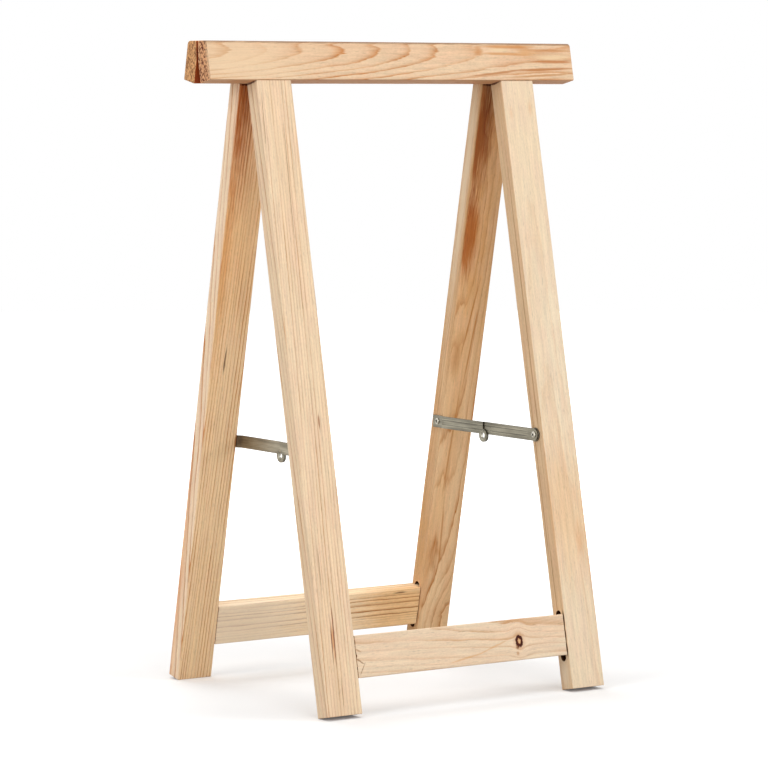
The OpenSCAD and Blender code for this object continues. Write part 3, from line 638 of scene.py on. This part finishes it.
def makeBeam(node, woods):
    front = "front" in node
    way = -1 if front else 1
    sine, cosine = math.sin(slope), math.cos(slope)
    rise = trestle["topHeight"] - trestle["hingeHeight"]
    inner, outer, slot = trestle["beamInner"], trestle["beamOuter"], trestle["topSlot"]
    under, half = trestle["beamDrop"], trestle["beamLength"] / 2
    outline = [(slot * sine - rise * cosine, slot * cosine + rise * sine),
               ((slot - inner * cosine) / sine, inner), (under, inner), (under, outer),
               ((outer * sine - rise) / cosine, outer)]
    bm = bmesh.new()
    loop = [bm.verts.new((u * mm, way * v * mm, -half * mm)) for u, v in outline]
    face = bm.faces.new(loop)
    grown = bmesh.ops.extrude_face_region(bm, geom=[face])
    bmesh.ops.translate(bm, verts=[g for g in grown["geom"] if isinstance(g, bmesh.types.BMVert)],
                        vec=(0, 0, 2 * half * mm))
    bmesh.ops.recalc_face_normals(bm, faces=bm.faces)
    topOuter = [e for e in edgesAlong(bm, 2) if abs(e.verts[0].co.x - outline[4][0] * mm) < 1e-6]
    bevel(bm, topOuter, planing["beamTop"], 6)
    lower = [e for e in edgesAlong(bm, 2) if abs(e.verts[0].co.x - under * mm) < 1e-6]
    topInner = [e for e in edgesAlong(bm, 2) if abs(e.verts[0].co.x - outline[0][0] * mm) < 1e-6]
    bevel(bm, lower, planing["beamUnder"])
    bevel(bm, topInner, planing["beamSlot"], 2)
    bevel(bm, edgesAt(bm, 2, half), planing["beamRight"], 4)
    bevel(bm, edgesAt(bm, 2, -half), planing["beamLeft"], 2)
    planeWaver(bm, planing["waver"], 5 + way)
    piece = addPiece(node + "_board", bm, woods)
    middle, glue, knuckle = way * legMiddle, joints["glue"], joints["knuckleRoom"] * mm
    width, thick = joints["tenonWidth"] / 2 + glue, joints["tenonThick"] / 2 + glue
    for side in (-1, 1):
        centre = side * trestle["legCentre"]
        cut = roundBar((under - joints["tenonLength"] - glue, middle - thick, centre - width),
                       (under + joints["overlap"], middle + thick, centre + width), 0, 1)
        combine(piece, addPiece("mortise", cut, woods, 1))
        room = bmesh.new()
        bmesh.ops.create_cone(room, cap_ends=True, segments=24, radius1=knuckle, radius2=knuckle,
                              depth=(joints["hingeLength"] + joints["knuckleEase"]) * mm)
        bmesh.ops.translate(room, verts=room.verts, vec=(0, 0, side * joints["hingeAt"] * mm))
        combine(piece, addPiece("knuckleRoom", room, woods, 1))
    return piece


# the walls of the mortises and knuckle rooms: end grain and chisel marks, painted dark brown as the shade
# deep inside the holes
mortise = {"pith": (40, 30), "lean": (0, 0), "seed": 92.0, "early": "#4A2712", "late": "#2C1408",
           "warm": "#43220F", "rosy": "#51301A", "end": "#3A1C0C"}
shadedMortiseWall = makePine("pine mortise wall, painted shade",
                       Matrix.Translation((0, 0, trestle["hingeHeight"] * mm)), mortise)
for node in sorted(boards):
    kind = node.split("_")[0]
    place = matrixFor("front" in node, kind != "leg")
    pine = makePine("planed pine, " + node.replace("_", " "), place, boards[node])
    make = {"beam": makeBeam, "leg": makeLeg, "stretcher": makeStretcher}[kind]
    finishPiece(make(node, [pine, shadedMortiseWall]), node, place, 32)
print("timber done")

# the folding stays, in mm; Y and Z are from the middle rivet and the leg screws
stays = {"base": 145.5, "height": {"left": 286, "right": 294}, "reach": {"left": 101.638, "right": 99.974},
         "pivotDrop": 9, "frontBase": 1.7, "rearBase": 3.5, "strip": 1.5, "runOn": 1.3,
         "headRadius": 3.7, "headHeight": 1.3, "frontHead": 3.4, "rearHead": 2.0,
         "shank": 2, "depth": 18, "tip": 3.5, "taper": 6, "turns": 7, "lead": 1.6, "recess": 1.2,
         "recessDeep": 0.7, "eyeletOuter": 4.3, "eyeletHole": 3.7, "rim": 6, "rimThick": 0.4,
         "stripEase": 0.22, "leafEase": 0.2, "smallEase": 0.12}


# zinc-plated steel: cloudy plating, rolling lines along the strip, edges mixed toward a given colour where
# asked
def makeZinc(name, look):
    material, tree = newMaterial(name)
    coords = addNode(tree, "TexCoord")

    def noiseAt(size, detail, offset):
        place = addNode(tree, "Mapping", {"Vector": coords.outputs["Object"], "Location": (offset,) * 3,
                                          "Scale": tuple(1 / (s * mm) for s in size)})
        return addNode(tree, "TexNoise", {"Vector": place, "Scale": 1.0, "Detail": detail})

    cloud = noiseAt((6, 46, 6), 2.0, 2.0)
    base = addNode(tree, "ValToRGB", {0: cloud})
    shades = ((0.32, "dark"), (0.52, "mid"), (0.7, "light"))
    setRamp(base, [(at, hexColour(look[shade])) for at, shade in shades])
    lines = noiseAt((0.9, look["lines"], 0.9), 3.0, 5.0)
    rolled = addNode(tree, "MapRange", {"Value": lines, "From Min": 0.3, "From Max": 0.7,
                                        "To Min": 0.8, "To Max": 1.16})
    speck = noiseAt((0.8, 0.8, 0.8), 2.0, 9.0)
    spots = addNode(tree, "MapRange", {"Value": speck, "From Min": 0.62, "From Max": 0.75,
                                       "To Min": 1.0, "To Max": 0.62})
    tone = addNode(tree, "Math", {0: rolled, 1: spots}, operation="MULTIPLY")
    facing = addNode(tree, "SeparateXYZ", {0: coords.outputs["Normal"]})
    # pressed bead: painted shade and painted highlight, a dark and a bright line along each of its edges,
    # drawn 1 mm wide so that they show
    if "bead" in look:
        shown = addNode(tree, "MapRange", {"Value": facing.outputs["X"],
                                           "From Min": 0.5 * look["away"], "From Max": 0.9 * look["away"]})
        parts = addNode(tree, "SeparateXYZ", {0: coords.outputs["Object"]})
        off = addNode(tree, "Math", {0: parts.outputs["Z"], 1: look["bead"] * mm}, operation="SUBTRACT")
        off = addNode(tree, "Math", {0: off}, operation="ABSOLUTE")
        along = addNode(tree, "Math", {0: parts.outputs["Y"]}, operation="ABSOLUTE")
        for at, change in ((2.7, -0.42), (3.7, 0.3)):
            gap = addNode(tree, "Math", {0: off, 1: at * mm}, operation="SUBTRACT")
            gap = addNode(tree, "Math", {0: gap}, operation="ABSOLUTE")
            line = addNode(tree, "MapRange", {"Value": gap, "From Min": 0.2 * mm, "From Max": 0.8 * mm,
                                              "To Min": change, "To Max": 0.0})
            part = addNode(tree, "MapRange", {"Value": along, "From Min": 84 * mm, "From Max": 89 * mm,
                                              "To Min": 1.0, "To Max": 0.0})
            line = addNode(tree, "Math", {0: line, 1: shown}, operation="MULTIPLY")
            tone = addNode(tree, "Math", {0: line, 1: part, 2: tone}, operation="MULTIPLY_ADD")
    colour = addNode(tree, "VectorMath", {0: base, "Scale": tone.outputs[0]}, operation="SCALE")
    # edges away from the flat: a painted highlight on the eyelets' rims, and darker on the strips' edges
    flat = addNode(tree, "Math", {0: facing.outputs["X"]}, operation="ABSOLUTE")
    edgeSheenAndDark = addNode(tree, "MapRange", {"Value": flat, "From Min": 0.4, "From Max": 0.9,
                                        "To Min": look["edgeSheenAndDark"], "To Max": 0.0})
    colour = addNode(tree, "Mix", {0: edgeSheenAndDark, 6: colour, 7: hexColour(look.get("edge", "#EFECE4"))},
                     data_type="RGBA")
    worn = addNode(tree, "MapRange", {"Value": lines, "From Min": 0.3, "From Max": 0.7,
                                      "To Min": look["rough"] + 0.09, "To Max": look["rough"] - 0.07})
    smooth = addNode(tree, "Mix", {0: edgeSheenAndDark, 2: worn, 3: 0.22}, data_type="FLOAT")
    height = addNode(tree, "Math", {0: speck, 1: lines}, operation="ADD")
    bump = addNode(tree, "Bump", {"Height": height, "Strength": 0.22, "Distance": 0.06 * mm})
    shader = addNode(tree, "BsdfPrincipled", {"Base Color": colour.outputs[2], "Metallic": 1.0,
                                              "Roughness": smooth, "Normal": bump})
    addNode(tree, "OutputMaterial", {0: shader})
    return material


zincs = {
    "eyelet": makeZinc("zinc-plated eyelet", {"dark": "#706B5C", "mid": "#8F8A79", "light": "#ADA896",
                                              "lines": 4, "rough": 0.3, "edgeSheenAndDark": 0.3}),
    "hinge": makeZinc("zinc-plated hinge", {"dark": "#857F70", "mid": "#A29C8C", "light": "#BDB8A8",
                                            "lines": 34, "rough": 0.4, "edgeSheenAndDark": 0.0}),
    # the cross recess in each screw head painted near black: painted shade inside the recess
    "recess": makeZinc("dirty screw recess", {"dark": "#26231D", "mid": "#322E27", "light": "#403B32",
                                              "lines": 3, "rough": 0.6, "edgeSheenAndDark": 0.0}),
    "screw": makeZinc("zinc-plated screw", {"dark": "#A19C8D", "mid": "#C4BFB2", "light": "#DAD6CB",
                                            "lines": 3, "rough": 0.3, "edgeSheenAndDark": 0.0})}
for side, away, dark, mid, light in (("left", 1, "#7C7769", "#918B7B", "#A6A08F"),
                                     ("right", -1, "#6E6A5D", "#827D6E", "#95907F")):
    zincs[side] = makeZinc("zinc-plated steel strip, " + side, {
        "dark": dark, "mid": mid, "light": light, "lines": 60, "rough": 0.42, "edgeSheenAndDark": 0.8,
        "edge": "#5C5850", "bead": stays["height"][side], "away": away})


# a piece that keeps its outline from the frame, its corners eased
def easeCopy(node, width, segments=2):
    cad = frame["nodes"][node]
    bm = bmesh.new()
    bm.from_mesh(cad.data)
    bm.transform(cad.matrix_world)
    bmesh.ops.remove_doubles(bm, verts=bm.verts, dist=2e-6)
    bmesh.ops.dissolve_limit(bm, angle_limit=math.radians(1), verts=bm.verts, edges=bm.edges)
    bevel(bm, [e for e in bm.edges if e.is_manifold and e.calc_face_angle() > 0.6], width, segments)
    return bm


# spins a profile of (along, radius) points about local X into a closed solid
def lathe(profile, closed=False, steps=40):
    bm = bmesh.new()
    ring = [bm.verts.new((along * mm, 0, radius * mm)) for along, radius in profile]
    edges = [bm.edges.new(pair) for pair in zip(ring, ring[1:])]
    if closed:
        edges.append(bm.edges.new((ring[-1], ring[0])))
    bmesh.ops.spin(bm, geom=ring + edges, cent=(0, 0, 0), axis=(1, 0, 0), angle=2 * math.pi, steps=steps,
                   use_merge=True)
    bmesh.ops.remove_doubles(bm, verts=bm.verts, dist=1e-7)
    bmesh.ops.recalc_face_normals(bm, faces=bm.faces)
    return bm


# stay pieces are drawn with X away from the leg's side, Y to the rear and Z = 0 at the leg screws
def stayMatrix(side, y, z):
    way = 1 if side == "right" else -1
    return Matrix.Translation((way * stays["base"] * mm, y * mm, (stays["height"][side] + z) * mm)) \
        @ Matrix.Diagonal((-way, 1, 1, 1))


def makeLegScrew(name, headBase):
    head, top, radius = stays["headRadius"], headBase + stays["headHeight"], stays["shank"]
    point = -stays["depth"]
    profile = [(point, 0), (point + stays["tip"], radius * 0.6), (point + stays["taper"], radius)]
    # rolled thread, one ridge a turn
    for turn in range(stays["turns"]):
        at = point + stays["taper"] + 0.5 + turn * stays["lead"]
        profile += [(at, radius * 0.8), (at + stays["lead"] / 2, radius)]
    profile += [(headBase, radius), (headBase, head - 0.1), (headBase + 0.12, head), (headBase + 0.4, head),
                (headBase + 0.8, head * 0.92), (headBase + 1.08, head * 0.72), (headBase + 1.24, head * 0.42),
                (top, 0)]
    metals = [zincs["screw"], zincs["recess"]]
    screw = addPiece(name, lathe(profile), metals)
    for turn in (math.pi / 4, -math.pi / 4):
        arm = boxBetween((top - stays["recessDeep"], -head * 0.6, -stays["recess"] / 2),
                         (top + 1, head * 0.6, stays["recess"] / 2))
        arm.transform(Matrix.Rotation(turn, 4, "X"))
        combine(screw, addPiece("recess", arm, metals, 1))
    return screw


def makeEyelet(name, base, rimBase):
    out = 1 if rimBase > base else -1
    foot, face = (base, rimBase) if out > 0 else (base + stays["strip"], rimBase + stays["rimThick"])
    outer, hole, rim, thick = stays["eyeletOuter"], stays["eyeletHole"], stays["rim"], stays["rimThick"]
    # the rim is rolled over: a rounded edge, a flat, and a round fall into the hole
    profile = [(foot, hole), (foot, outer), (face, outer), (face, rim - 0.25),
               (face + out * thick * 0.3, rim), (face + out * thick * 0.75, rim - 0.15),
               (face + out * thick, rim - 0.6), (face + out * thick, outer + 0.2),
               (face + out * thick * 0.8, outer - 0.2), (face + out * thick * 0.3, hole + 0.12),
               (face - out * 0.2, hole)]
    return addPiece(name, lathe(profile, closed=True), [zincs["eyelet"]])


for side in ("left", "right"):
    reach = stays["reach"][side]
    front, rear = stayMatrix(side, -reach, 0), stayMatrix(side, reach, 0)
    middle = stayMatrix(side, 0, -stays["pivotDrop"])
    for end, place, headBase in (("front", front, stays["frontHead"]), ("rear", rear, stays["rearHead"])):
        node = f"stay_{side}_screw_{end}"
        finishPiece(makeLegScrew(node + "_shaped", headBase), node, place)
    for end, base, rimBase in (("front", stays["frontBase"], stays["frontBase"] - stays["rimThick"]),
                               ("rear", stays["rearBase"], stays["rearBase"] + stays["strip"])):
        node = f"stay_{side}_eyelet_{end}"
        finishPiece(makeEyelet(node + "_shaped", base, rimBase), node, middle)
    for part in ("link_front", "link_rear", "washer"):
        node = f"stay_{side}_{part}"
        bm = easeCopy(node, stays["stripEase"])
        # the front link runs on behind the rear one, so that no light shows between their ends
        for v in bm.verts:
            if part == "link_front" and -0.5 * mm < v.co.y < -0.1 * mm:
                v.co.y += stays["runOn"] * mm
        finishPiece(addPiece(node + "_shaped", bm, [zincs[side]]), node, Matrix.Identity(4))
    for part in ("leaf_front", "leaf_rear", "pin", "screws_front", "screws_rear"):
        node = f"hinge_{side}_{part}"
        kind = "screw" if "screws" in part else "hinge"
        bm = easeCopy(node, stays["leafEase" if "leaf" in part else "smallEase"])
        finishPiece(addPiece(node + "_shaped", bm, [zincs[kind]]), node, Matrix.Identity(4))
print("steel done")


# 1 for what the camera or a shiny surface sees, 0 for the light that reaches the object
def seenDirectly(tree):
    path = addNode(tree, "LightPath")
    return addNode(tree, "Math", {0: path.outputs["Is Camera Ray"], 1: path.outputs["Is Glossy Ray"]},
                   operation="MAXIMUM")


# plain pale floor that keeps the shadow, white behind
studio = {
    "floor": 7.0, "floorSeen": "#F2F2F2", "floorLit": "#B8B8B8", "world": 0.33,
    "camera": {"at": (-2.2373, -3.3498, 0.6916), "down": 4.805, "turn": -33.729,
               "lens": 162.34, "sensor": 36},
    "aim": (0, 0, 0.4), "lamps": {
        "overhead softbox": {"at": (-0.1, -0.6, 3.0), "side": 2.6, "watts": 33},
        "left softbox": {"at": (-3.2, -0.6, 1.4), "side": 1.6, "watts": 39},
        "front softbox": {"at": (-0.6, -3.4, 1.1), "side": 1.6, "watts": 31},
        "right softbox": {"at": (2.4, -2.2, 1.6), "side": 1.6, "watts": 29},
        "rear softbox": {"at": (0.1, 1.9, 2.7), "side": 2.0, "watts": 40}}}
bm = bmesh.new()
bmesh.ops.create_circle(bm, cap_ends=True, segments=64, radius=studio["floor"])
floorMesh = bpy.data.meshes.new("floor")
bm.to_mesh(floorMesh)
bm.free()
floor = bpy.data.objects.new("floor", floorMesh)
bpy.context.scene.collection.objects.link(floor)
paper, tree = newMaterial("matt white paper")
seen = seenDirectly(tree)
# lamps fall off across the floor, so it is lifted to white more and more away from the middle
coords = addNode(tree, "TexCoord")
distance = addNode(tree, "VectorMath", {0: coords.outputs["Object"]}, operation="LENGTH")
level = addNode(tree, "MapRange", {"Value": distance.outputs["Value"], "From Min": 0.35, "From Max": 1.6,
                                   "To Min": 0.08, "To Max": 0.9})
lift = addNode(tree, "Math", {0: seen, 1: level}, operation="MULTIPLY")
shade = addNode(tree, "Mix", {0: seen, 6: hexColour(studio["floorLit"]), 7: hexColour(studio["floorSeen"])},
                data_type="RGBA")
diffuse = addNode(tree, "BsdfDiffuse", {"Color": shade.outputs[2]})
glow = addNode(tree, "Emission", {"Strength": lift})
both = addNode(tree, "AddShader", {0: diffuse, 1: glow})
addNode(tree, "OutputMaterial", {0: both})
floorMesh.materials.append(paper)

world = bpy.data.worlds.new("studio")
bpy.context.scene.world = world
world.use_nodes = True
tree = world.node_tree
tree.nodes.clear()
seen = seenDirectly(tree)
soft = addNode(tree, "Background", {"Color": hexColour("#FFFFFF"), "Strength": studio["world"]})
white = addNode(tree, "Background", {"Color": hexColour("#FFFFFF"), "Strength": 1.0})
mixed = addNode(tree, "MixShader", {0: seen, 1: soft, 2: white})
addNode(tree, "OutputWorld", {0: mixed})

for name, box in studio["lamps"].items():
    lampData = bpy.data.lights.new(name, "AREA")
    lampData.shape, lampData.size, lampData.energy = "SQUARE", box["side"], box["watts"]
    lamp = bpy.data.objects.new(name, lampData)
    bpy.context.scene.collection.objects.link(lamp)
    lamp.location = box["at"]
    lamp.rotation_euler = (Vector(studio["aim"]) - lamp.location).to_track_quat("-Z", "Y").to_euler()

cameraData = bpy.data.cameras.new("camera")
view = studio["camera"]
cameraData.sensor_width, cameraData.lens = view["sensor"], view["lens"]
camera = bpy.data.objects.new("camera", cameraData)
bpy.context.scene.collection.objects.link(camera)
camera.location = view["at"]
camera.rotation_euler = (math.radians(90 - view["down"]), 0, math.radians(view["turn"]))
bpy.context.scene.camera = camera
bpy.context.scene.view_settings.view_transform = "Standard"
